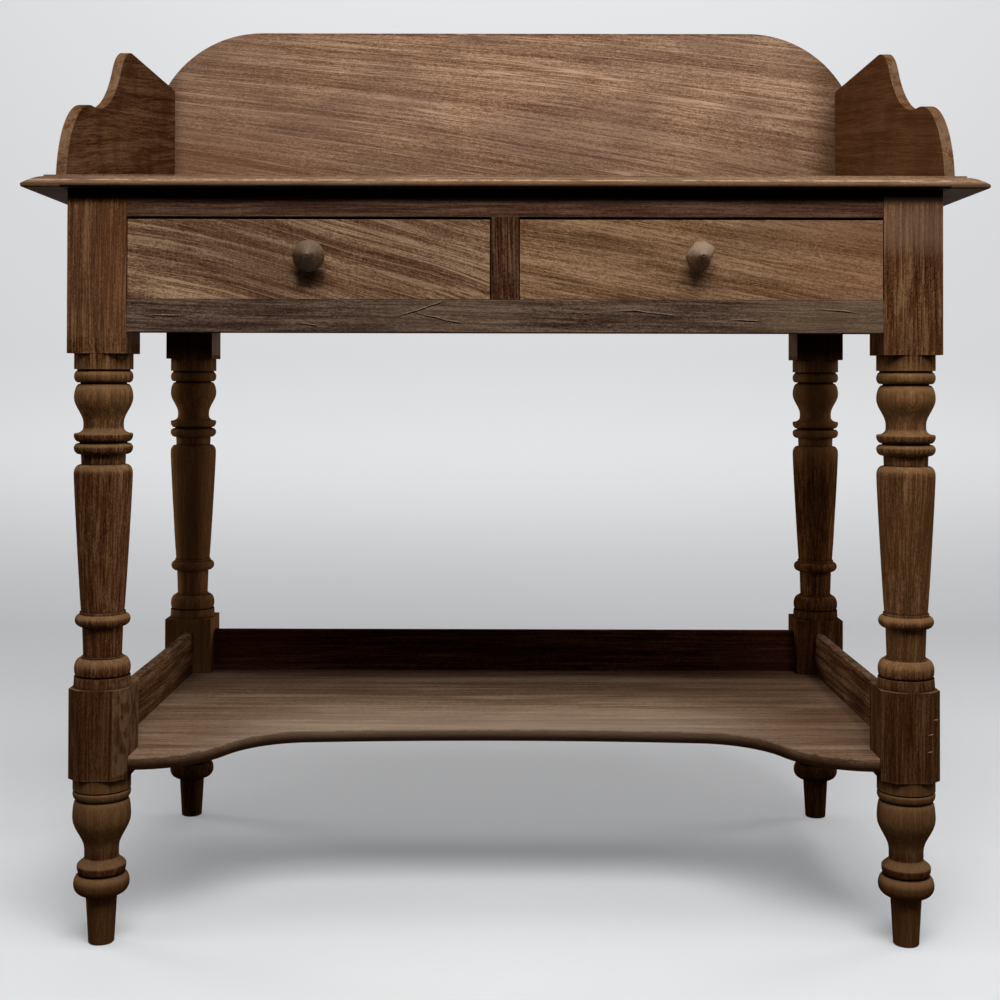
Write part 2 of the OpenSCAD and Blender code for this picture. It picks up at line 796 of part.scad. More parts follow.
// Rail section with its top edges eased
module shelf_rail_section(t) {
  r = shelf_rail_round;
  h = tray_z - shelf_rail_z;
  translate([-t / 2, 0]) square([t, h - r]);
  translate([r - t / 2, 0]) square([t - 2 * r, h]);
  for (s = [-1, 1]) translate([s * (t / 2 - r), h - r]) circle(r);
}

module shelf_groove_cut() {
  bar([-shelf_rail_in_x - shelf_groove, front_leg_rear_y - bite, shelf_z0],
      [shelf_rail_in_x + shelf_groove, shelf_back_in_y + shelf_groove, shelf_z1]);
}

module shelf_rail(side) {
  color(wood)
    on_side(side) {
      difference() {
        along_y(front_leg_rear_y, back_leg_front_y)
          translate([-leg_x, shelf_rail_z]) shelf_rail_section(shelf_rail_t);
        shelf_groove_cut();
      }
      shelf_rail_tenons();
    }
}

module shelf_back() {
  color(wood_dark) {
    difference() {
      along_x(-inner_x, inner_x)
        translate([leg_back_y, shelf_rail_z]) shelf_rail_section(shelf_rail_t);
      shelf_groove_cut();
    }
    for (side = ["left", "right"]) on_side(side) shelf_back_tenon();
  }
}

// Dovetails of a drawer side as an outline in Y and Z, from a shoulder at y towards an end l
// away, running on into the side itself
module tails(y, l, g = 0) {
  pitch = (drawer_side_z1 - drawer_z0) / tail_count;
  root = y - sign(l) * bite;
  for (i = [0 : tail_count - 1]) {
    z = drawer_z0 + (i + 0.5) * pitch;
    w = (pitch - pin_w) / 2 + g;
    polygon([[root, z - w + tail_slope], [root, z + w - tail_slope], [y, z + w - tail_slope],
             [y + l, z + w], [y + l, z - w], [y, z - w + tail_slope]]);
  }
}

front_tail_l = drawer_front_t - dovetail_lap;

module front_tails(x0, g = 0) {
  along_x(x0 - g, x0 + drawer_side_t + g) tails(drawer_in_y, -front_tail_l - g, g);
}

module back_tails(x0, g = 0) {
  along_x(x0 - g, x0 + drawer_side_t + g) tails(drawer_back_y, drawer_back_t + g, g);
}

// The space that the drawer bottom takes, in its grooves
module bottom_space(g = 0) {
  bar([drawer_x0 + drawer_side_t - groove_d, drawer_in_y - groove_d, groove_z0],
      [drawer_x1 - drawer_side_t + groove_d, drawer_end_y, groove_z1], g);
}

module drawer_side(x0) {
  color(wood_pale)
    difference() {
      union() {
        bar([x0, drawer_in_y, drawer_z0], [x0 + drawer_side_t, drawer_back_y, drawer_side_z1]);
        bar([x0, drawer_back_y - bite, drawer_z0], [x0 + drawer_side_t, drawer_end_y, groove_z1]);
        front_tails(x0);
        back_tails(x0);
      }
      bottom_space(glue_fit);
    }
}

module drawer_outer_side(side) {
  on_side(side) drawer_side(drawer_x0);
}

module drawer_inner_side(side) {
  on_side(side) drawer_side(drawer_x1 - drawer_side_t);
}

module drawer_front(side) {
  color(wood_front)
    on_side(side)
      difference() {
        bar([drawer_x0, rail_y, drawer_z0], [drawer_x1, drawer_in_y, drawer_z1]);
        front_tails(drawer_x0, glue_fit);
        front_tails(drawer_x1 - drawer_side_t, glue_fit);
        bottom_space(glue_fit);
        translate([knob_x, rail_y - bite, knob_z])
          rotate([-90, 0, 0]) cylinder(h = knob_peg_l + bite + glue_fit, d = knob_peg_d + 2 * glue_fit);
      }
}

module drawer_back(side) {
  color(wood_pale)
    on_side(side)
      difference() {
        bar([drawer_x0, drawer_back_y, groove_z1 + glue_fit], [drawer_x1, drawer_end_y, drawer_back_z1]);
        back_tails(drawer_x0, glue_fit);
        back_tails(drawer_x1 - drawer_side_t, glue_fit);
        bottom_screw_places() screw_hole(bottom_screw_l);
      }
}

bottom_screw_l = drawer_bottom_t + drawer_screw_bite;
module bottom_screw_places() {
  for (k = [-1, 0, 1])
    translate([drawer_mid_x + k * (drawer_x1 - drawer_x0) / 3, drawer_end_y - drawer_back_t / 2, groove_z0])
      children();
}

module drawer_bottom(side) {
  color(wood_pale)
    on_side(side)
      difference() {
        bottom_space();
        bottom_screw_places() screw_hole(bottom_screw_l);
      }
}

module drawer_screws(side) {
  color(steel) on_side(side) bottom_screw_places() screw(bottom_screw_l);
}

// Knob: a neck, a flared back and a pointed face with a small pit at its tip
module drawer_knob(side) {
  r = knob_d / 2;
  neck = knob_neck_d / 2;
  rim = knob_l * 0.42;
  pit = 0.9;
  color(wood_dark)
    on_side(side)
      translate([knob_x, rail_y, knob_z])
        rotate([90, 0, 0]) {
          rotate_extrude()
            polygon(concat(
              [[0, 0], [neck + 2, 0], [neck + 2, 1.5]],
              [for (i = [0 : turn_steps]) let (a = 90 * i / turn_steps)
                [neck + (r - neck) * (1 - cos(a)), 1.5 + (rim - 1.5) * sin(a)]],
              [for (i = [0 : turn_steps]) let (u = i / turn_steps)
                [r - (r - 3) * u, rim + 2 + (knob_l - rim - 3) * pow(u, 0.85)]],
              [[pit, knob_l], [pit, knob_l - 2], [0, knob_l - 2]]));
          translate([0, 0, -knob_peg_l]) cylinder(h = knob_peg_l + bite, d = knob_peg_d);
        }
}

top_board();
gallery_back();
gallery_side("left");  // gallery_left
gallery_side("right");  // gallery_right
gallery_screws();
gallery_back_screws();
leg_front("left");  // leg_front_left
leg_front("right");  // leg_front_right
leg_back("left");  // leg_back_left
leg_back("right");  // leg_back_right
front_top_rail();
front_bottom_rail();
drawer_divider();
apron_side("left");  // apron_left
apron_side("right");  // apron_right
apron_back();
runner_side("left");  // runner_left
runner_side("right");  // runner_right
runner_centre();
guide_side("left");  // guide_left
guide_side("right");  // guide_right
guide_centre();
kicker_side("left");  // kicker_left
kicker_side("right");  // kicker_right
kicker_centre();
drawer_stops();
glue_blocks();
top_screws();
shelf();
shelf_back();
shelf_rail("left");  // shelf_rail_left
shelf_rail("right");  // shelf_rail_right
drawer_front("left");  // drawer_left_front
drawer_outer_side("left");  // drawer_left_outer_side
drawer_inner_side("left");  // drawer_left_inner_side
drawer_back("left");  // drawer_left_back
drawer_bottom("left");  // drawer_left_bottom
drawer_knob("left");  // drawer_left_knob
drawer_screws("left");  // drawer_left_screws
drawer_front("right");  // drawer_right_front
drawer_outer_side("right");  // drawer_right_outer_side
drawer_inner_side("right");  // drawer_right_inner_side
drawer_back("right");  // drawer_right_back
drawer_bottom("right");  // drawer_right_bottom
drawer_knob("right");  // drawer_right_knob
drawer_screws("right");  // drawer_right_screws
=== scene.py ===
"""A worn mahogany washstand in a plain pale studio.

Metres, +Z up, the front faces -Y. Object coordinates are the frame's own, because every
CAD node's object sits at the origin, so a place in a material is a place on the stand.
Colours are written as the 0 to 255 values that they show as, and made linear by srgb.
"""
import math

import bpy
from mathutils import Matrix, Vector


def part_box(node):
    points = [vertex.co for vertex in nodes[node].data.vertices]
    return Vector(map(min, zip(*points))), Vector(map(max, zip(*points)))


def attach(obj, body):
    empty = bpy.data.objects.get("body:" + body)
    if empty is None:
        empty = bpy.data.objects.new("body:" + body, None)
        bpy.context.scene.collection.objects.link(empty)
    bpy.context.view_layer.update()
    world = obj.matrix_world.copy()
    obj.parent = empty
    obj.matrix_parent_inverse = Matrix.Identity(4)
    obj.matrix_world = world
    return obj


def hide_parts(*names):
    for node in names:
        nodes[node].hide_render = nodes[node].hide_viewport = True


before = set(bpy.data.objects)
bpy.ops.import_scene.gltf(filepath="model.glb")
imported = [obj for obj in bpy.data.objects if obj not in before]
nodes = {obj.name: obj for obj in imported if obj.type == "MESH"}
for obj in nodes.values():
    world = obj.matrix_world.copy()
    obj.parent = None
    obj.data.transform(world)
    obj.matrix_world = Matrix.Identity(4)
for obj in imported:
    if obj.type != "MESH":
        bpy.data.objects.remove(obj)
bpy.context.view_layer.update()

MM = 0.001

# Turns that lay the grain along an axis, before any slant
ALONG_X = (0.0, 0.0, 0.0)
ALONG_Y = (0.0, 0.0, math.pi / 2)
ALONG_Z = (0.0, -math.pi / 2, 0.0)

# What a tint's sides can be measured on: the place in metres, then the way a face looks, from -1 to 1
X, Y, Z, FACE_X, FACE_Y, FACE_Z = range(6)

# Beyond every place on the stand
FAR = 9.0

# How softly a tint fades between faces that look different ways
FACE_SOFT = 0.25

# The range that nearly all of a noise lies in
MOST = (0.34, 0.66)

# Heights of the upper faces of the top board and of the shelf
TOP_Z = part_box("top_board")[1].z
SHELF_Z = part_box("shelf")[1].z


# Colours


def srgb(red, green, blue):
    """A linear colour from the 0 to 255 values that it shows as."""
    def linear(c):
        c /= 255
        return c / 12.92 if c <= 0.04045 else ((c + 0.055) / 1.055) ** 2.4
    return tuple(linear(c) for c in (red, green, blue))


def scaled(colour, share):
    """A darker or lighter linear colour."""
    return tuple(min(1.0, c * share) for c in colour)


def opaque(red, green, blue):
    """The same with the fourth value that a node's colour has."""
    return (*srgb(red, green, blue), 1.0)


# Nodes of a material


class Recipe:
    """One material's node tree, with short calls for what wood is made of."""

    def __init__(self, name, turn=ALONG_X, slant=0.0, flow=None, warp=(350.0, 3.0)):
        """The grain runs along turn, tilted by slant degrees, and follows flow and warp."""
        self.material = bpy.data.materials.new(name)
        self.material.use_nodes = True
        self.tree = self.material.node_tree
        self.tree.nodes.clear()
        source = self.put("ShaderNodeTexCoord").outputs
        self.place = source["Object"]
        self.axes = [*self.put("ShaderNodeSeparateXYZ", {0: self.place}).outputs,
                     *self.put("ShaderNodeSeparateXYZ", {0: source["Normal"]}).outputs]
        rotation = (turn[0], turn[1] + math.radians(slant), turn[2])
        turned = self.put("ShaderNodeMapping", {"Vector": self.place, "Rotation": rotation},
                          vector_type="TEXTURE").outputs[0]
        if flow:
            turned = self.flowing(turned, **flow)
        self.local = self.warped(turned, *warp)

    def put(self, kind, inputs=None, **settings):
        """A new node with its settings, and its inputs as numbers or as the sockets that feed them."""
        node = self.tree.nodes.new(kind)
        for key, value in settings.items():
            setattr(node, key, value)
        for key, value in (inputs or {}).items():
            self.feed(node.inputs[key], value)
        return node

    def feed(self, socket, value):
        if isinstance(value, bpy.types.NodeSocket):
            self.tree.links.new(value, socket)
        else:
            socket.default_value = value

    def combine(self, a, b, operation):
        return self.put("ShaderNodeMath", {0: a, 1: b}, operation=operation).outputs[0]

    def minus(self, a, b):
        return self.combine(a, b, "SUBTRACT")

    def times(self, a, b):
        return self.combine(a, b, "MULTIPLY")

    def times_plus(self, a, b, c):
        return self.put("ShaderNodeMath", {0: a, 1: b, 2: c}, operation="MULTIPLY_ADD").outputs[0]

    def weigh(self, *parts):
        """The sum of (value, weight) pairs."""
        total = 0.0
        for value, weight in parts:
            if weight:
                total = self.times_plus(value, weight, total)
        return total

    def flowing(self, vector, slope, bow=0.0, fan=0.0, level=0.0):
        """The same place on grain that falls to the right: by slope everywhere, by bow more the further
        along the board, and by fan more the further below a level."""
        x, y, z = self.put("ShaderNodeSeparateXYZ", {0: vector}).outputs
        fall = self.weigh((x, bow / 2), (self.minus(level, z), fan), (1.0, slope))
        return self.put("ShaderNodeCombineXYZ", {0: x, 1: y, 2: self.times_plus(x, fall, z)}).outputs[0]

    def warped(self, vector, length, width):
        """The same place, pushed across the grain by up to about width millimetres, so that no line is
        quite straight. The push changes over length along the grain and over apart across it."""
        apart = 90.0
        size = (length * MM, apart * MM, apart * MM)
        most = 4 * width * MM
        wide = self.put("ShaderNodeVectorMath", {0: vector, 1: size}, operation="DIVIDE")
        noise = self.put("ShaderNodeTexNoise", {"Vector": wide.outputs[0], "Scale": 1.0, "Detail": 1.0})
        centred = self.put("ShaderNodeVectorMath", {0: noise.outputs["Color"], 1: (0.5, 0.5, 0.5)},
                           operation="SUBTRACT")
        push = self.put("ShaderNodeVectorMath", {0: centred.outputs[0], 1: (0.0, most, most), 2: vector},
                        operation="MULTIPLY_ADD")
        return push.outputs[0]

    def patches(self, length, width, detail=1.0, rough=0.5, seed=0.0, local=True):
        """Noise in patches, so many millimetres along the grain and across it, from about 0.3 to 0.7.
        It follows the grain, or the stand's own axes where it isn't local."""
        size = (length * MM, width * MM, width * MM)
        offset = (seed, seed * 1.7, seed * 2.3)
        source = self.local if local else self.place
        divided = self.put("ShaderNodeVectorMath", {0: source, 1: size}, operation="DIVIDE")
        moved = self.put("ShaderNodeVectorMath", {0: divided.outputs[0], 1: offset})
        noise = self.put("ShaderNodeTexNoise", {
            "Vector": moved.outputs[0], "Scale": 1.0, "Detail": detail, "Roughness": rough})
        return noise.outputs["Fac"]

    def span(self, value, low, high, to_low=0.0, to_high=1.0):
        """A value rescaled from one range to another and kept inside it."""
        return self.put("ShaderNodeMapRange", {
            "Value": value, "From Min": low, "From Max": high, "To Min": to_low, "To Max": to_high,
        }, interpolation_type="SMOOTHSTEP").outputs[0]

    def mask(self, length, width, fade, least=0.0, **noise):
        """Patches that rise from least to 1 where their noise goes from fade's low to its high value."""
        return self.span(self.patches(length, width, **noise), *fade, least, 1.0)

    def inside(self, sides, soft):
        """A mask that is 1 between all the sides and fades over soft millimetres at each of them."""
        mask = 1.0
        for axis, low, high in sides:
            place = self.axes[axis]
            fade = soft * MM if axis <= Z else FACE_SOFT
            from_low = self.span(place, low - fade, low + fade)
            to_high = self.span(place, high - fade, high + fade, 1.0, 0.0)
            mask = self.times(mask, self.times(from_low, to_high))
        return mask

    def blend(self, share, a, b):
        """Colour b over colour a by a share; colours are linear."""
        # A mix node has its sockets for colours after those for numbers and vectors
        input_a = 6
        input_b = 7
        output = 2
        mixer = self.put("ShaderNodeMix", {0: share}, data_type="RGBA")
        for index, value in ((input_a, a), (input_b, b)):
            if isinstance(value, tuple):
                value = (*value, 1.0)
            self.feed(mixer.inputs[index], value)
        return mixer.outputs[output]

    def ramp(self, value, *stops):
        """A colour ramp from (place, colour) stops."""
        ramp = self.tree.nodes.new("ShaderNodeValToRGB")
        elements = ramp.color_ramp.elements
        while len(elements) < len(stops):
            elements.new(1.0)
        for element, (place, colour) in zip(elements, stops):
            element.position = place
            element.color = (*colour, 1.0)
        self.feed(ramp.inputs[0], value)
        return ramp.outputs[0]

    def arris(self):
        """A mask that is 1 along edges and 0 on flat faces."""
        width = 1.6
        least_turn = 0.02
        full_turn = 0.30
        rounded = self.put("ShaderNodeBevel", {"Radius": width * MM}, samples=4)
        true_normal = self.put("ShaderNodeNewGeometry").outputs["Normal"]
        same = self.put("ShaderNodeVectorMath", {0: rounded.outputs[0], 1: true_normal},
                        operation="DOT_PRODUCT")
        return self.span(self.minus(1.0, same.outputs["Value"]), least_turn, full_turn)

    def hollow(self):
        """A mask that is 1 deep in grooves and 0 in the open."""
        reach = 6.0
        closed = 0.35
        open_air = 0.95
        shade = self.put("ShaderNodeAmbientOcclusion", {"Distance": reach * MM}, samples=6, only_local=True)
        return self.span(shade.outputs["AO"], closed, open_air, 1.0, 0.0)

    def surface(self, colour, roughness, height, depth, **constants):
        """Ends the material with one shader; the bump's depth is in millimetres."""
        bump = self.put("ShaderNodeBump", {"Height": height, "Distance": depth * MM, "Strength": 1.0})
        shader = self.put("ShaderNodeBsdfPrincipled", {
            "Base Color": colour, "Roughness": roughness, "Normal": bump.outputs[0]})
        for key, value in constants.items():
            shader.inputs[key.replace("_", " ")].default_value = value
        self.put("ShaderNodeOutputMaterial", {"Surface": shader.outputs[0]})
        return self.material


# Masks of what is seen in wood


def light_lines(r):
    """Thin lines where slow noise crosses its middle value, broken along their length."""
    middle = 0.5
    core = 0.003
    reach = 0.014
    offset = r.minus(r.patches(1100.0, 15.0, seed=8.3), middle)
    distance = r.put("ShaderNodeMath", {0: offset}, operation="ABSOLUTE").outputs[0]
    contour = r.span(distance, core, reach, 1.0, 0.0)
    return r.times(contour, r.mask(60.0, 4.0, (0.34, 0.58), least=0.25, rough=0.6, seed=2.9))


def cross_hatch(r):
    """Short upright strokes across the grain, stronger in some places."""
    strokes = r.mask(1.9, 12.0, (0.44, 0.64), seed=6.6, local=False)
    return r.times(strokes, r.mask(30.0, 40.0, (0.40, 0.62), least=0.1, seed=15.1, local=False))


def open_pores(r):
    """Short dark lines along the grain, closer together in some places."""
    return r.times(r.mask(9.0, 1.1, (0.60, 0.70), seed=5.3),
                   r.mask(60.0, 9.0, (0.35, 0.65), least=0.3, seed=6.1))


def rubbed_edges(r):
    """Edges that use has worn pale, more in some places."""
    return r.times(r.arris(), r.mask(16.0, 5.0, (0.32, 0.62), least=0.1, detail=2.0, rough=0.65, seed=2.2))


# Tints over part of a wood


def under(face_z, depth):
    """The height that is depth millimetres under a face."""
    return face_z - depth * MM


def between(axis, low, high):
    return axis, low, high


def above(axis, low):
    return axis, low, FAR


def below(axis, high):
    return axis, -FAR, high


LEFT = below(X, 0.0)
RIGHT = above(X, 0.0)


def tint(colour, share, *sides, soft, broken=False):
    """A colour over the wood between some sides, which fade over soft millimetres."""
    return srgb(*colour), share, sides, soft, broken


def wood(name, shades, turn=ALONG_X, slant=0.0, flow=None, warp=(350.0, 3.0), band=(420.0, 9.0, 0.2),
         streak=(150.0, 3.2, 0.2), fine=0.27, speck=0.18, dust=0.15, lines=0.0, hatch=0.0, stain=None,
         pores=0.35, flecks=0.35, wear=0.5, tints=(), dirt=0.0, rough=0.55, shine=0.0):
    """Open-pored hardwood in a deep, a middle and a light shade, with its grain laid as Recipe says.

    Its tone is a sum of broad bands and streaks, each given by length, width and share, and of shares of
    fine grain, short specks and dust. Over that come, by their shares, light lines, cross hatching,
    blotches of stain, pores, pale flecks, rubbed edges, the tints, some of them painted light and shade,
    and dirt in the grooves.
    """
    r = Recipe(name, turn, slant, flow, warp)
    deep, middle, light = (srgb(*shade) for shade in shades)
    line_colour = scaled(light, 1.12)
    hatch_colour = scaled(light, 1.05)
    stain_colour = srgb(*stain) if stain else scaled(deep, 0.95)
    pore_colour = scaled(deep, 0.35)
    fleck_colour = scaled(light, 1.15)
    rubbed_colour = scaled(light, 1.3)
    dirt_colour = scaled(deep, 0.25)
    blotch_share = 0.4

    band_length, band_width, band_share = band
    streak_length, streak_width, streak_share = streak
    bands = r.mask(band_length, band_width, (0.36, 0.64), detail=1.5, seed=3.1)
    streaks = r.mask(streak_length, streak_width, MOST, detail=2.0, rough=0.6, seed=7.7)
    grain = r.mask(60.0, 1.35, MOST, rough=0.6, seed=1.9)
    specks = r.mask(6.0, 1.1, MOST, rough=0.6, seed=4.4)
    motes = r.mask(1.9, 1.3, MOST, detail=0.0, seed=6.9)
    tone = r.weigh((bands, band_share), (streaks, streak_share), (grain, fine), (specks, speck),
                   (motes, dust))
    colour = r.ramp(tone, (0.16, deep), (0.5, middle), (0.84, light))

    if lines:
        colour = r.blend(r.times(light_lines(r), lines), colour, line_colour)
    if hatch:
        colour = r.blend(r.times(cross_hatch(r), hatch), colour, hatch_colour)
    blotches = r.mask(140.0, 60.0, (0.40, 0.68), detail=2.0, seed=12.0, local=False)
    colour = r.blend(r.times(blotches, blotch_share), colour, stain_colour)
    pore_lines = open_pores(r)
    colour = r.blend(r.times(pore_lines, pores), colour, pore_colour)
    fleck_dots = r.mask(4.0, 1.6, (0.67, 0.74), detail=2.0, rough=0.6, seed=9.4)
    colour = r.blend(r.times(fleck_dots, flecks), colour, fleck_colour)
    if wear:
        colour = r.blend(r.times(rubbed_edges(r), wear), colour, rubbed_colour)
    for shade, share, sides, soft, broken in tints:
        where = r.times(r.inside(sides, soft), share)
        if broken:
            gaps = r.mask(14.0, 9.0, (0.38, 0.58), least=0.1, detail=2.0, rough=0.6, seed=3.7)
            where = r.times(where, gaps)
        colour = r.blend(where, colour, shade)
    if dirt:
        colour = r.blend(r.times(r.hollow(), dirt), colour, dirt_colour)

    roughness = r.weigh((streaks, 0.06), (blotches, 0.06), (1.0, rough))
    height = r.minus(r.weigh((grain, 0.4), (specks, 0.2)), pore_lines)
    return r.surface(colour, roughness, height, depth=0.14, Specular_IOR_Level=shine)


# The stand's woods

# Painted shade under the top board, near black on the faces just below it
SHADE_UNDER_TOP = tint((7, 3, 1), 0.97, above(Z, under(TOP_Z, 26.5)), soft=3.5)
WORN_FRONT_EDGE = tint((112, 90, 70), 0.6, below(FACE_Y, -0.55), soft=1.0, broken=True)


def top_wood():
    """A rubbed line with a painted highlight along the moulded edge, painted shade on the nose under it,
    and painted shade on the underside.
    """
    tints = [
        # Partly rubbed wear, partly a painted highlight along the nose's arris
        tint((200, 166, 132), 0.5, between(Z, under(TOP_Z, 7.0), under(TOP_Z, 5.6)), soft=0.6, broken=True),
        # Painted shade on the lower half of the nose, which faces down
        tint((74, 52, 34), 0.7, below(Z, under(TOP_Z, 8.8)), soft=1.6),
        # Painted shade on the underside, between the ends
        tint((12, 6, 2), 0.96, below(Z, under(TOP_Z, 11.7)), between(X, -0.42, 0.42), soft=1.0),
    ]
    return wood("top_wood", [(84, 60, 43), (114, 87, 66), (146, 118, 95)],
                band=(300.0, 12.0, 0.1), streak=(60.0, 3.0, 0.18), fine=0.3, speck=0.24, dust=0.18,
                flecks=0.7, wear=0.9, shine=0.01, tints=tints)


def gallery_back_wood():
    """Ribbon grain that falls to the right; warm low on the left, darker below and towards the left, with
    painted shade low on the right and painted shadows of the side boards at both ends.
    """
    tints = [
        tint((146, 96, 60), 0.40, below(X, -0.26), below(Z, 0.835), soft=70.0),
        tint((92, 66, 50), 0.3, below(X, -0.24), soft=120.0),
        tint((80, 52, 34), 0.24, below(Z, 0.85), soft=35.0),
        # Painted shade low on the right
        tint((84, 52, 30), 0.2, above(X, 0.26), below(Z, 0.86), soft=45.0),
        # Painted shadows of the side boards at both ends
        tint((60, 38, 24), 0.5, below(X, -0.415), soft=12.0),
        tint((70, 44, 27), 0.6, above(X, 0.396), soft=20.0),
        tint((70, 48, 32), 0.6, above(Z, 0.9785), soft=1.2, broken=True),
    ]
    return wood("gallery_back_wood", [(92, 64, 45), (142, 108, 84), (186, 154, 127)],
                flow={"slope": 0.10, "fan": 0.5, "level": 0.95}, warp=(500.0, 2.0), band=(600.0, 26.0, 0.17),
                streak=(400.0, 4.5, 0.2), fine=0.24, speck=0.2, dust=0.19, lines=0.9, stain=(102, 78, 68),
                pores=0.25, tints=tints)


def gallery_side_wood():
    """The right-hand board's inner face is warmed and lightened with painted light."""
    tints = [
        WORN_FRONT_EDGE,
        # Painted light on the right-hand board's inner face, which faces away from the key
        tint((150, 100, 60), 0.28, RIGHT, below(FACE_X, -0.5), soft=1.0),
    ]
    return wood("gallery_side_wood", [(58, 34, 17), (98, 66, 43), (128, 94, 68)], turn=ALONG_Y, slant=-9.0,
                band=(300.0, 10.0, 0.22), fine=0.26, speck=0.16, dust=0.14, tints=tints)


def drawer_left_wood():
    """Strong ribbon grain that bows down to the right; darker low round the knob, with a stain under it."""
    tints = [
        tint((70, 42, 28), 0.26, between(X, -0.24, -0.08), below(Z, 0.650), soft=14.0),
        tint((70, 42, 28), 0.17, above(X, -0.11), soft=30.0),
        tint((44, 26, 14), 0.65, between(X, -0.197, -0.171), between(Z, 0.628, 0.645), soft=2.5),
    ]
    return wood("drawer_left_wood", [(68, 41, 27), (115, 85, 62), (172, 141, 111)],
                flow={"slope": 0.35, "bow": 0.42}, warp=(200.0, 4.0), band=(300.0, 11.0, 0.29),
                streak=(190.0, 2.9, 0.21), fine=0.22, speck=0.14, dust=0.19, lines=0.8, hatch=0.14,
                pores=0.4, tints=tints)


def drawer_right_wood():
    """Calmer grain; redder at the right-hand end and darker low round the knob."""
    tints = [
        tint((118, 74, 52), 0.35, above(X, 0.28), soft=50.0),
        tint((72, 42, 24), 0.2, between(X, 0.10, 0.27), below(Z, 0.650), soft=16.0),
    ]
    return wood("drawer_right_wood", [(80, 52, 31), (124, 92, 65), (166, 133, 103)],
                flow={"slope": 0.17, "bow": 0.06}, warp=(250.0, 3.5), band=(320.0, 18.0, 0.22),
                streak=(160.0, 4.0, 0.2), fine=0.24, dust=0.19, lines=0.5, hatch=0.08, tints=tints)


def rail_wood():
    """The rail above the drawers, in the shade of the top."""
    return wood("rail_wood", [(52, 31, 22), (84, 58, 44), (113, 86, 68)],
                band=(200.0, 7.0, 0.24), streak=(80.0, 3.0, 0.22), fine=0.25, speck=0.16, dust=0.13,
                flecks=0.15, tints=[SHADE_UNDER_TOP])


def grey_rail_wood():
    """The weathered rail under the drawers, paler at its right-hand end and left of its middle."""
    tints = [
        tint((132, 110, 84), 0.26, above(X, 0.24), soft=50.0),
        tint((132, 110, 90), 0.16, between(X, -0.11, 0.02), soft=40.0),
    ]
    return wood("grey_rail_wood", [(50, 35, 28), (84, 65, 53), (120, 99, 84)], slant=1.5,
                band=(160.0, 6.0, 0.2), streak=(80.0, 2.8, 0.2), fine=0.26, dust=0.18, stain=(60, 42, 36),
                pores=0.7, flecks=1.0, wear=0.8, tints=tints)


def divider_wood():
    """The upright between the drawers."""
    return wood("divider_wood", [(32, 14, 6), (66, 41, 27), (104, 76, 57)], turn=ALONG_Z,
                band=(200.0, 4.0, 0.15), streak=(80.0, 2.2, 0.2), fine=0.34, speck=0.16)


def leg_wood():
    """The front legs: painted shade under the top and on the lower blocks and feet, paler bulbs, a painted
    highlight on the upper faces of the turnings, painted light on the inner faces of the left-hand leg's
    blocks, and what sets the left-hand and the right-hand leg apart."""
    upper_block = between(Z, 0.58, 0.706)
    inner_left = above(FACE_X, 0.4)
    tints = [
        SHADE_UNDER_TOP,
        # Painted shade darkening the lower blocks and feet
        tint((44, 20, 5), 0.55, below(Z, 0.255), soft=12.0),
        tint((96, 66, 38), 0.4, below(Z, 0.065), soft=12.0),
        # Painted highlight where the turnings face up
        tint((152, 118, 84), 0.32, above(FACE_Z, 0.2), between(Z, 0.02, 0.56), soft=2.0),
        tint((122, 90, 56), 0.34, between(Z, 0.09, 0.158), soft=6.0),
        tint((134, 98, 62), 0.26, between(Z, 0.50, 0.556), soft=8.0),
        tint((142, 104, 62), 0.13, RIGHT, between(Z, 0.262, 0.556), soft=8.0),
        # Painted light on the inner face of the left-hand leg's lower block
        tint((122, 98, 76), 0.36, LEFT, between(Z, 0.165, 0.252), inner_left, soft=2.0, broken=True),
        tint((136, 98, 72), 0.14, LEFT, upper_block, soft=3.0),
        tint((92, 46, 20), 0.22, between(X, -0.386, -0.30), upper_block, soft=9.0),
        # Painted light low on the inner face of the left-hand leg's upper block
        tint((104, 92, 78), 0.4, LEFT, between(Z, 0.575, 0.596), inner_left, soft=2.0),
        tint((164, 132, 108), 0.22, RIGHT, between(Z, 0.665, 0.708), soft=14.0),
    ]
    return wood("leg_wood", [(42, 20, 7), (84, 53, 31), (128, 95, 65)], turn=ALONG_Z, slant=1.0,
                band=(300.0, 8.0, 0.2), streak=(120.0, 3.0, 0.22), fine=0.3, speck=0.15, stain=(66, 36, 16),
                pores=0.3, flecks=0.7, wear=0.45, dirt=0.9, rough=0.42, tints=tints)


def leg_back_wood():
    """The back legs: painted shade on the fronts of the upper blocks and the feet, painted light low on the
    inner faces of the upper blocks, and paler turnings."""
    front = below(FACE_Y, 0.0)
    foot = below(Z, 0.15)
    painted_light_end = between(Z, 0.57, 0.62)
    tints = [
        # Painted shadow on the fronts of the upper blocks, under the top
        tint((18, 6, 2), 0.85, above(Z, 0.565), below(FACE_Y, -0.4), soft=14.0),
        tint((168, 124, 82), 0.22, LEFT, between(Z, 0.17, 0.56), soft=20.0),
        tint((168, 124, 82), 0.2, RIGHT, between(Z, 0.44, 0.56), soft=20.0),
        # Painted shade on the fronts of the feet
        tint((22, 8, 3), 0.6, foot, RIGHT, front, soft=20.0),
        tint((26, 10, 4), 0.55, foot, LEFT, front, soft=20.0),
        tint((40, 18, 8), 0.3, between(Z, 0.15, 0.27), RIGHT, soft=10.0),
        # Painted light low on the inner faces of the upper blocks
        tint((128, 116, 100), 0.45, LEFT, painted_light_end, above(FACE_X, 0.4), soft=2.0),
        tint((110, 98, 84), 0.4, RIGHT, painted_light_end, below(FACE_X, -0.4), soft=2.0),
    ]
    return wood("leg_back_wood", [(46, 24, 9), (84, 50, 26), (120, 82, 50)], turn=ALONG_Z, slant=1.0,
                band=(300.0, 8.0, 0.2), streak=(120.0, 3.0, 0.2), fine=0.28, speck=0.16, dust=0.12,
                pores=0.25, flecks=0.4, dirt=0.9, rough=0.45, tints=tints)


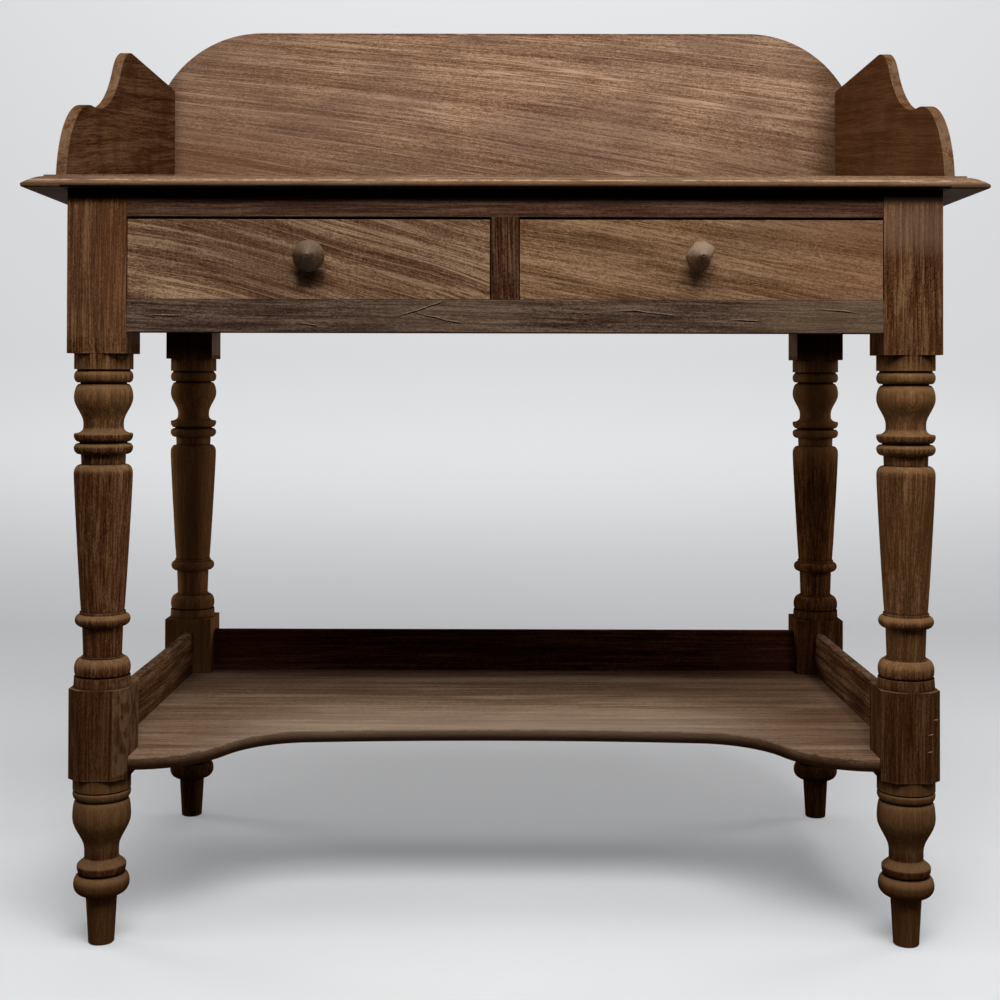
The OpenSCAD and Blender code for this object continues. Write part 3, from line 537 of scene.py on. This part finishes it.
def shelf_wood():
    """Painted light in the middle of its front, painted shade towards the back, darker on the right; its
    edge darkens downwards with painted shade from a rubbed line with a painted highlight."""
    rubbed_highlight_line = between(Z, under(SHELF_Z, 1.8), under(SHELF_Z, 0.4))
    tints = [
        # Painted light in the middle of the front
        tint((180, 160, 142), 0.42, between(X, -0.25, 0.25), below(Y, -0.04), soft=90.0),
        # Painted shade towards the back
        tint((66, 36, 20), 0.3, above(Y, 0.10), soft=70.0),
        tint((96, 62, 40), 0.25, above(X, 0.23), soft=80.0),
        tint((92, 60, 34), 0.5, below(Z, under(SHELF_Z, 1.1)), soft=0.6),
        # Painted shade on the edge's lower part, which turns away from the light
        tint((32, 17, 7), 0.97, below(Z, under(SHELF_Z, 5.2)), soft=5.0),
        # Rubbed wear and a painted highlight along the top of the front edge
        tint((180, 152, 124), 0.45, rubbed_highlight_line, below(Y, 0.0), soft=0.3, broken=True),
    ]
    return wood("shelf_wood", [(84, 60, 42), (125, 101, 81), (160, 136, 113)],
                band=(500.0, 22.0, 0.26), streak=(200.0, 7.0, 0.2), fine=0.25, dust=0.11,
                stain=(94, 66, 48), pores=0.4, flecks=0.2, wear=0.6, tints=tints)


def shelf_rail_wood():
    """The boards along the ends, worn pale on top."""
    tints = [
        tint((132, 108, 88), 0.5, above(FACE_Z, 0.6), soft=1.0, broken=True),
    ]
    return wood("shelf_rail_wood", [(44, 22, 9), (84, 56, 35), (120, 92, 68)], turn=ALONG_Y,
                band=(200.0, 9.0, 0.25), wear=1.0, tints=tints)


def shelf_back_wood():
    """Redder at both ends, with painted shade making it almost black in the middle."""
    tints = [
        tint((84, 44, 28), 0.3, below(X, -0.25), soft=40.0),
        tint((84, 44, 28), 0.3, above(X, 0.27), soft=40.0),
        # Painted shade in the middle
        tint((14, 4, 2), 0.35, between(X, -0.20, 0.12), soft=60.0),
    ]
    return wood("shelf_back_wood", [(28, 9, 4), (58, 27, 15), (96, 61, 44)], wear=0.3, tints=tints)


def knob_dark_wood():
    """Smooth turned wood with a sheen, and a painted highlight where it faces up."""
    return wood("knob_dark_wood", [(56, 39, 24), (84, 63, 44), (110, 89, 68)], turn=ALONG_Y,
                fine=0.2, speck=0.1, dust=0.1, pores=0.15, flecks=0.1, wear=0.2, dirt=0.6, rough=0.33,
                shine=0.14, tints=[tint((130, 110, 95), 0.34, above(FACE_Z, 0.2), soft=1.0)])


def knob_pale_wood():
    """The same in paler wood, duller and more rubbed, with its own painted highlight where it faces up."""
    return wood("knob_pale_wood", [(84, 60, 38), (114, 88, 62), (144, 118, 92)], turn=ALONG_Y,
                fine=0.2, speck=0.12, dust=0.12, pores=0.15, flecks=0.2, wear=0.4, dirt=0.5, rough=0.4,
                shine=0.08, tints=[tint((162, 142, 126), 0.4, above(FACE_Z, 0.15), soft=1.0)])


def inner_wood(name, turn):
    """The plain wood of what is out of sight."""
    return wood(name, [(110, 78, 46), (142, 106, 68), (172, 138, 96)], turn=turn, band=(500.0, 16.0, 0.35),
                wear=0.0)


def steel():
    """Screws with duller, browner spots."""
    clean = 0.34
    dull = 0.6
    r = Recipe("screw_steel")
    spots = r.mask(3.0, 2.0, (0.35, 0.65), detail=3.0, rough=0.6)
    colour = r.blend(spots, srgb(150, 147, 142), srgb(104, 92, 80))
    return r.surface(colour, r.span(spots, 0.0, 1.0, clean, dull), spots, depth=0.02, Metallic=1.0)


def bare_wood(name, colour):
    """The wood of a split, a lip or a scratch, in one colour with darker patches."""
    r = Recipe(name)
    full = srgb(*colour)
    patchy = r.blend(r.mask(3.0, 1.5, (0.35, 0.65)), full, scaled(full, 0.6))
    return r.surface(patchy, roughness=0.7, height=r.patches(2.0, 1.0), depth=0.05,
                     Specular_IOR_Level=0.03)


# Dressing the CAD nodes


def paint(material, *names):
    """Gives CAD nodes a material in the place of their plain ones."""
    for name in names:
        data = nodes[name].data
        data.materials.clear()
        data.materials.append(material)


def soften(name, width, segments):
    """Rounds a board's arrises by so many millimetres, as sanding and use do."""
    one_point = 0.02 * MM
    one_plane = math.radians(0.4)
    sharp = math.radians(28)
    node = nodes[name]
    weld = node.modifiers.new("weld", "WELD")
    weld.merge_threshold = one_point
    flat = node.modifiers.new("flat", "DECIMATE")
    flat.decimate_type = "DISSOLVE"
    flat.angle_limit = one_plane
    bevel = node.modifiers.new("arris", "BEVEL")
    bevel.width = width * MM
    bevel.segments = segments
    bevel.limit_method = "ANGLE"
    bevel.angle_limit = sharp
    bevel.use_clamp_overlap = True
    node.modifiers.new("normals", "WEIGHTED_NORMAL")


def dress_nodes():
    """Gives every CAD node its material, and every board and leg its soft arrises."""
    def named(*starts):
        return [name for name in nodes if name.startswith(starts)]

    inner_x = inner_wood("inner_x_wood", ALONG_X)
    inner_y = inner_wood("inner_y_wood", ALONG_Y)
    screws = [name for name in nodes if name.endswith("screws")]
    paint(top_wood(), "top_board")
    paint(gallery_back_wood(), "gallery_back")
    paint(gallery_side_wood(), "gallery_left", "gallery_right")
    paint(drawer_left_wood(), "drawer_left_front")
    paint(drawer_right_wood(), "drawer_right_front")
    paint(rail_wood(), "front_top_rail")
    paint(grey_rail_wood(), "front_bottom_rail")
    paint(divider_wood(), "drawer_divider")
    paint(leg_wood(), *named("leg_front"))
    paint(leg_back_wood(), *named("leg_back"))
    paint(shelf_wood(), "shelf")
    paint(shelf_back_wood(), "shelf_back")
    paint(shelf_rail_wood(), "shelf_rail_left", "shelf_rail_right", "apron_left", "apron_right")
    paint(knob_dark_wood(), "drawer_left_knob")
    paint(knob_pale_wood(), "drawer_right_knob")
    for side in ("left", "right"):
        paint(inner_y, f"drawer_{side}_outer_side", f"drawer_{side}_inner_side")
        paint(inner_x, f"drawer_{side}_back", f"drawer_{side}_bottom")
    paint(inner_y, *named("runner_", "guide_", "kicker_"))
    paint(inner_x, "apron_back", "drawer_stops", "glue_blocks")
    paint(steel(), *screws)

    usual_width = 0.6
    widths = {"shelf": 2.6, "gallery_back": 1.0, "gallery_left": 1.4, "gallery_right": 1.4}
    widths.update({name: 1.1 for name in named("leg_")})
    for name in nodes:
        if name not in screws and not name.endswith("knob"):
            soften(name, widths.get(name, usual_width), segments=4 if name == "shelf" else 2)


# Pieces of the scene's own


def piece(name, points, faces, material, body, smooth=False):
    """A mesh that rides on a body."""
    mesh = bpy.data.meshes.new(name)
    mesh.from_pydata(points, [], faces)
    mesh.validate()
    for face in mesh.polygons:
        face.use_smooth = smooth
    mesh.materials.append(material)
    obj = bpy.data.objects.new(name, mesh)
    bpy.context.scene.collection.objects.link(obj)
    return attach(obj, body)


# The worn knob


def knob_outline(peg_end, tip, radius):
    """Points of (distance out from the drawer front, radius), from the peg's end to the hole in the tip."""
    peg = 0.3 * radius
    neck = 0.52 * radius
    foot = neck + 1.6 * MM
    foot_end = 1.4 * MM
    flare_start = 1.6 * MM
    flare_steps = 9
    rim = 0.44 * tip
    cone_start = rim + 1.5 * MM
    cone_end = tip - 0.7 * MM
    cone_end_radius = 2.0 * MM
    cone_fullness = 0.86
    cone_steps = 12
    outline = [(peg_end, 0.0), (peg_end, peg), (0.0, peg), (0.0, foot), (foot_end, foot)]
    for i in range(1, flare_steps + 1):
        a = math.pi / 2 * i / flare_steps
        outline.append((flare_start + (rim - flare_start) * math.sin(a),
                        neck + (radius - neck) * (1 - math.cos(a))))
    outline.append((cone_start, radius))
    for i in range(1, cone_steps + 1):
        u = i / cone_steps
        outline.append((cone_start + (cone_end - cone_start) * u ** cone_fullness,
                        radius - (radius - cone_end_radius) * u))
    flat_tip = [(tip, 1.5 * MM), (tip, 1.0 * MM)]
    hole = [(tip - 1.8 * MM, 0.7 * MM), (tip - 2.0 * MM, 0.0)]
    return outline + flat_tip + hole


def worn_radius(angle, radius):
    """A radius of the knob, cut off by the flats that are worn on it."""
    # Each flat's direction in degrees from +X towards +Z, and its distance from the axis in millimetres
    flats = [(-24, 8.6), (-46, 11.0), (146, 12.9), (96, 14.0), (200, 14.2), (60, 14.1)]
    least_facing = 0.05
    for direction, distance in flats:
        facing = math.cos(angle - math.radians(direction))
        if facing > least_facing:
            radius = min(radius, distance * MM / facing)
    return radius


def worn_knob():
    """The right-hand knob, turned like the other one but with its rim worn or cut flat in places."""
    around = 96
    one_point = 0.01 * MM
    sharp = math.radians(38)
    # Nearer the drawer front than this, the knob is narrow and out of reach of wear
    unworn = 1.6 * MM
    low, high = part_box("drawer_right_knob")
    middle = (low + high) / 2
    front_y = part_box("drawer_right_front")[0].y
    outline = knob_outline(front_y - high.y, front_y - low.y, (high.x - low.x) / 2)
    points = []
    for out, radius in outline:
        for i in range(around):
            a = 2 * math.pi * i / around
            reach = worn_radius(a, radius) if out > unworn else radius
            points.append((middle.x + reach * math.cos(a), front_y - out, middle.z + reach * math.sin(a)))
    faces = []
    for start in range(0, len(points) - around, around):
        for i in range(around):
            j = (i + 1) % around
            faces.append((start + i, start + j, start + around + j, start + around + i))
    wood_of_node = nodes["drawer_right_knob"].data.materials[0]
    knob = piece("worn_knob", points, faces, wood_of_node, "drawer_right", smooth=True)
    weld = knob.modifiers.new("weld", "WELD")
    weld.merge_threshold = one_point
    edge = knob.modifiers.new("edges", "EDGE_SPLIT")
    edge.split_angle = sharp
    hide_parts("drawer_right_knob")


# Marks of age, as slivers on the front faces, with places in millimetres

# How far before its face a scratch, chip or nick lies
MARK_OUT = 0.02


def stroke(name, line, widths, face_y, material, body):
    """A thin sliver with a ridge along its middle, on a front face along a line of (x, z) points."""
    ridge = 0.12
    points = []
    for i, (x, z) in enumerate(line):
        x0, z0 = line[max(0, i - 1)]
        x1, z1 = line[min(len(line) - 1, i + 1)]
        share = widths[i] / 2 / math.hypot(x1 - x0, z1 - z0)
        across_x = -(z1 - z0) * share
        across_z = (x1 - x0) * share
        points += [((x + across_x) * MM, face_y, (z + across_z) * MM),
                   (x * MM, face_y - ridge * MM, z * MM),
                   ((x - across_x) * MM, face_y, (z - across_z) * MM)]
    faces = []
    for a in range(0, 3 * len(line) - 3, 3):
        b = a + 3
        faces += [(a, a + 1, b + 1, b), (a + 1, a + 2, b + 2, b + 1)]
    return piece(name, points, faces, material, body)


def rail_splits(gap, lip):
    """Splits in the rail under the drawers, each with a pale lip raised along its upper side, pale partly as
    bare wood and partly as a painted highlight.
    """
    before_face = 0.05
    face_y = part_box("front_bottom_rail")[0].y - before_face * MM
    end = 0.15
    narrow = 0.8
    wide = 1.1
    lip_rise = 1.1
    lip_share = 0.75
    splits = {
        "a": [(-105, 600.0), (-93, 603.2), (-81, 606.8), (-72, 610.2), (-62, 613.4), (-56, 615.2)],
        "b": [(-84, 604.2), (-75, 601.4), (-66, 599.8), (-56, 596.9), (-46, 595.2), (-40, 594.0)],
        "c": [(-200, 594.0), (-190, 593.4), (-183, 592.2), (-177, 591.0)],
        "d": [(100, 605.0), (112, 605.9), (124, 606.4), (134, 604.6), (150, 603.0), (168, 600.4)],
        "e": [(294, 608.6), (308, 607.0), (322, 606.2), (336, 604.0)],
        "f": [(-344, 600.6), (-330, 601.2), (-316, 600.8), (-302, 601.4)],
        "g": [(210, 597.0), (222, 597.6), (236, 596.8), (246, 597.2)],
    }
    for key, line in splits.items():
        widths = [end] + [wide if i % 2 else narrow for i in range(len(line) - 2)] + [end]
        stroke("split_" + key, line, widths, face_y, gap, "stand")
        raised = [(x, z + lip_rise) for x, z in line]
        stroke("split_lip_" + key, raised, [w * lip_share for w in widths], face_y, lip, "stand")


def drawer_scratches(pale):
    """Scratches right of the right-hand knob."""
    face_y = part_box("drawer_right_front")[0].y - MARK_OUT * MM
    end = 0.2
    arcs = {
        "long": ([(298.0, 667.0), (298.6, 661.5), (300.6, 656.5), (303.6, 652.5)], 1.1),
        "short": ([(295.0, 670.0), (294.6, 668.0), (294.8, 665.6)], 0.7),
    }
    for key, (line, width) in arcs.items():
        widths = [end] + [width] * (len(line) - 2) + [end]
        stroke("scratch_" + key, line, widths, face_y, pale, "drawer_right")


def gallery_chips(pale):
    """Chips and a scratch in the gallery's back board."""
    face_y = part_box("gallery_back")[0].y - MARK_OUT * MM
    end = 0.3
    chips = {
        "dot": ([(252.0, 940.6), (253.6, 942.6), (255.6, 944.4)], 3.0),
        "left": ([(244.8, 838.4), (246.6, 839.0), (249.0, 838.6)], 1.6),
        "middle": ([(284.0, 842.4), (285.8, 843.0), (287.6, 842.2)], 1.5),
        "right": ([(320.0, 838.6), (322.8, 839.2), (325.6, 838.4)], 1.5),
        "scratch": ([(-76.4, 902.4), (-76.0, 898.4), (-74.0, 893.6)], 0.9),
    }
    for key, (line, width) in chips.items():
        stroke("chip_" + key, line, [end, width, end], face_y, pale, "stand")


def leg_nicks(pale):
    """Nicks in the lower block of the front right leg."""
    face_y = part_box("leg_front_right")[0].y - MARK_OUT * MM
    widths = [0.3, 1.3, 0.3]
    # The middle of each nick
    nicks = {"upper": (403.4, 206.8), "lower": (402.6, 190.6), "side": (408.0, 221.0)}
    for key, (x, z) in nicks.items():
        line = [(x - 2.6, z - 0.3), (x, z), (x + 2.2, z + 0.6)]
        stroke("nick_" + key, line, widths, face_y, pale, "stand")


def marks():
    """What age has done to the rail, the right-hand drawer, the gallery and a leg."""
    gap = bare_wood("split_dark", (20, 11, 7))
    # Pale bare wood; on the splits' lips it is also a painted highlight
    lip = bare_wood("split_lip", (150, 129, 106))
    scratch = bare_wood("scratch_pale", (168, 138, 108))
    rail_splits(gap, lip)
    drawer_scratches(scratch)
    gallery_chips(scratch)
    leg_nicks(lip)


# Stage


def sweep_material():
    """A pale sheet that is lit partly by itself where it is seen, directly or in a reflection, and more
    so up the wall. Its bounce on the stand is that of a darker floor."""
    r = Recipe("sweep")
    floor_glow = 0.18
    wall_glow = 0.42
    full_height = 0.4
    shown = r.put("ShaderNodeBsdfDiffuse", {"Color": opaque(200, 201, 203)})
    strength = r.span(r.axes[Z], 0.0, full_height, floor_glow, wall_glow)
    glow = r.put("ShaderNodeEmission", {"Color": opaque(250, 252, 255), "Strength": strength})
    lit = r.put("ShaderNodeAddShader", {0: shown.outputs[0], 1: glow.outputs[0]})
    bounce = r.put("ShaderNodeBsdfDiffuse", {"Color": opaque(92, 86, 80)})
    path = r.put("ShaderNodeLightPath").outputs
    direct = r.combine(path["Is Camera Ray"], path["Is Glossy Ray"], "MAXIMUM")
    seen = r.combine(direct, path["Is Transmission Ray"], "MAXIMUM")
    mix = r.put("ShaderNodeMixShader", {0: seen, 1: bounce.outputs[0], 2: lit.outputs[0]})
    r.put("ShaderNodeOutputMaterial", {"Surface": mix.outputs[0]})
    return r.material


def sweep():
    """A floor that curves up into a backdrop, as one sheet."""
    half_width = 6.0
    near = -5.0
    far = 2.2
    height = 5.0
    radius = 0.6
    steps = 16
    line = [(near, 0.0), (far - radius, 0.0)]
    for i in range(1, steps + 1):
        a = math.pi / 2 * i / steps
        line.append((far - radius + radius * math.sin(a), radius - radius * math.cos(a)))
    line.append((far, height))
    points = [(x, y, z) for y, z in line for x in (-half_width, half_width)]
    faces = [(2 * i, 2 * i + 1, 2 * i + 3, 2 * i + 2) for i in range(len(line) - 1)]
    mesh = bpy.data.meshes.new("sweep")
    mesh.from_pydata(points, [], faces)
    for face in mesh.polygons:
        face.use_smooth = True
    mesh.materials.append(sweep_material())
    obj = bpy.data.objects.new("sweep", mesh)
    bpy.context.scene.collection.objects.link(obj)


# Light


def surroundings():
    """Even, dim, slightly warm light from all round; what is seen there is a pale wall."""
    warm_white = (1.0, 0.985, 0.96, 1.0)
    dim = 0.155
    world = bpy.data.worlds.new("world")
    world.use_nodes = True
    tree = world.node_tree
    tree.nodes.clear()

    def background(colour, strength):
        node = tree.nodes.new("ShaderNodeBackground")
        node.inputs["Color"].default_value = colour
        node.inputs["Strength"].default_value = strength
        return node.outputs[0]

    path = tree.nodes.new("ShaderNodeLightPath").outputs
    seen = tree.nodes.new("ShaderNodeMath")
    seen.operation = "MAXIMUM"
    mix = tree.nodes.new("ShaderNodeMixShader")
    output = tree.nodes.new("ShaderNodeOutputWorld")
    tree.links.new(path["Is Camera Ray"], seen.inputs[0])
    tree.links.new(path["Is Transmission Ray"], seen.inputs[1])
    tree.links.new(seen.outputs[0], mix.inputs[0])
    tree.links.new(background(warm_white, dim), mix.inputs[1])
    tree.links.new(background(opaque(209, 210, 212), 1.0), mix.inputs[2])
    tree.links.new(mix.outputs[0], output.inputs[0])
    bpy.context.scene.world = world


def softbox(name, place, aim, size, watts, spread=180.0):
    """A rectangular lamp at a place, which shines at another within so many degrees."""
    light = bpy.data.lights.new(name, "AREA")
    light.shape = "RECTANGLE"
    light.size, light.size_y = size
    light.energy = watts
    light.spread = math.radians(spread)
    obj = bpy.data.objects.new(name, light)
    obj.location = place
    obj.rotation_euler = (Vector(aim) - Vector(place)).to_track_quat("-Z", "Y").to_euler()
    bpy.context.scene.collection.objects.link(obj)


def softboxes():
    """A key from above the camera, one lamp for the wall, and fills for the back and the ends."""
    softbox("key", place=(0.25, -1.45, 2.15), aim=(0.0, -0.1, 0.55), size=(1.5, 0.9), watts=48.0)
    softbox("wall_light", place=(0.0, -0.6, 3.6), aim=(0.0, 2.2, 0.6), size=(3.0, 0.6), watts=33.0)
    softbox("back_fill", place=(0.0, 1.9, 2.6), aim=(0.0, 0.3, 0.6), size=(2.4, 0.8), watts=16.0)
    for side, x in (("left", -1.0), ("right", 1.0)):
        softbox("side_fill_" + side, place=(2.6 * x, 1.1, 0.7), aim=(0.44 * x, 0.0, 0.6), size=(1.0, 0.8),
                watts=4.5, spread=60.0)


# Camera


def camera():
    """The photograph's own view: low, almost level, from in front of the drawers."""
    # Metres
    before_front_legs = 1.448
    height = 0.5439
    off_middle = -0.00115
    # Radians
    pitch = 0.010
    roll = 0.0022
    yaw = 0.0023
    leg_y = sum(corner.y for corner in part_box("leg_front_left")) / 2
    data = bpy.data.cameras.new("camera")
    data.lens = 54.0
    data.sensor_width = 36.0
    data.shift_y = -0.1381
    obj = bpy.data.objects.new("camera", data)
    obj.matrix_world = (Matrix.Translation((off_middle, leg_y - before_front_legs, height))
                        @ Matrix.Rotation(yaw, 4, "Z")
                        @ Matrix.Rotation(math.pi / 2 + pitch, 4, "X")
                        @ Matrix.Rotation(roll, 4, "Z"))
    bpy.context.scene.collection.objects.link(obj)
    bpy.context.scene.camera = obj


# The scene


dress_nodes()
worn_knob()
marks()
sweep()
surroundings()
softboxes()
camera()
bpy.context.scene.view_settings.view_transform = "Standard"
